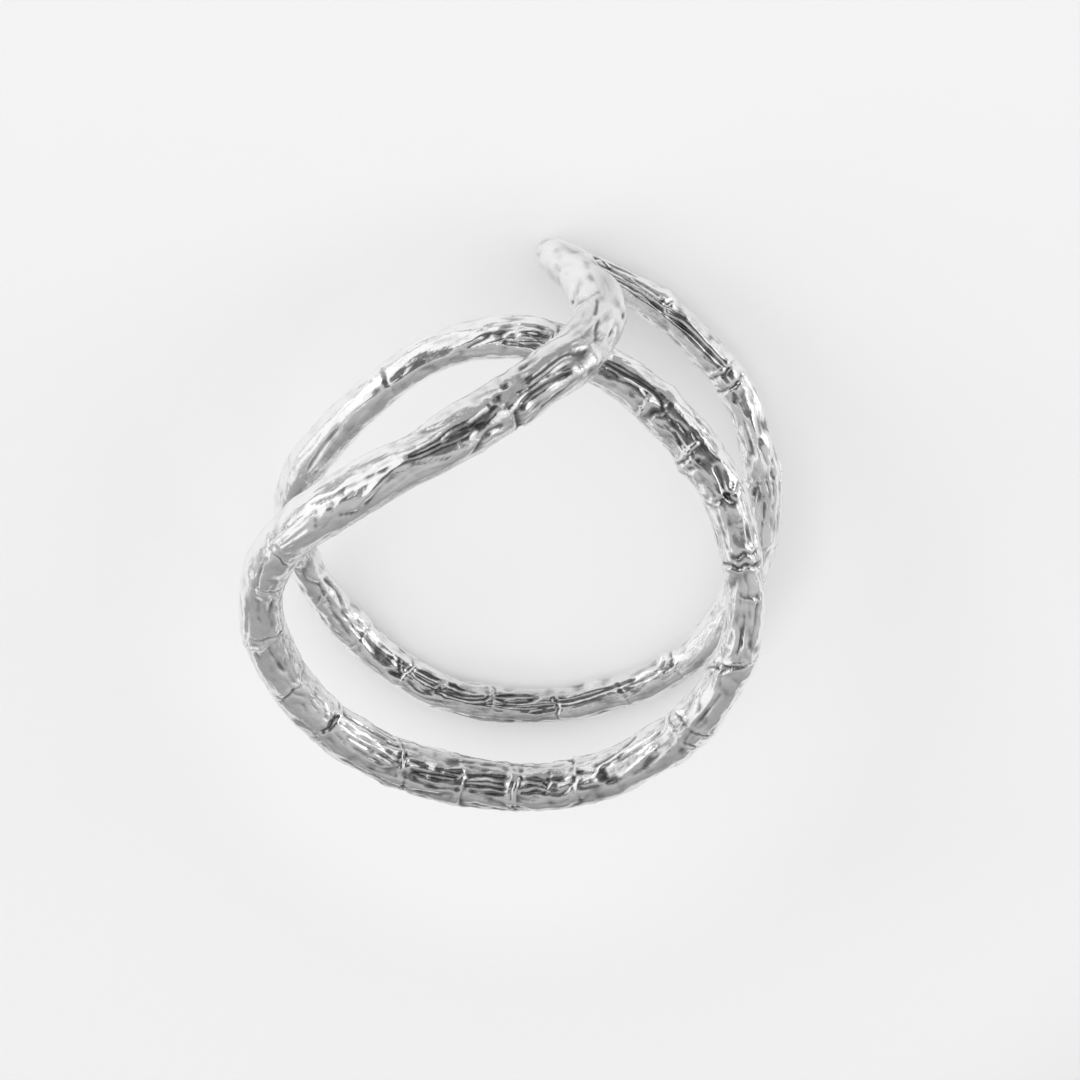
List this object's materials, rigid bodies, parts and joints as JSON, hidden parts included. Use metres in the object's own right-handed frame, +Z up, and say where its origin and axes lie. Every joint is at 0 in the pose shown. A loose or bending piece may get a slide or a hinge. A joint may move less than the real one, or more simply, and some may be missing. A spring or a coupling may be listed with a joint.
{
  "type": "double band ring",
  "caption": "Finger ring cast from one natural twig that winds round the finger in two open, slanting bands, with its curled tip soldered over the top.",
  "frame": {"origin": "on the surface that the ring lies on, under the middle of its bounding box", "axes": "+Z up from the surface, along the finger apart from a lean of 11 degrees; +Y to the top of the ring, where the curled tip crosses the bands; +X to its right seen from the curled tip's side"},
  "size_m": [0.021, 0.0234, 0.0155],
  "materials": {
    "silver": "polished sterling silver, cast bark grain"
  },
  "bodies": {
    "root": {"twig_band": "silver"}
  },
  "joints": []
}
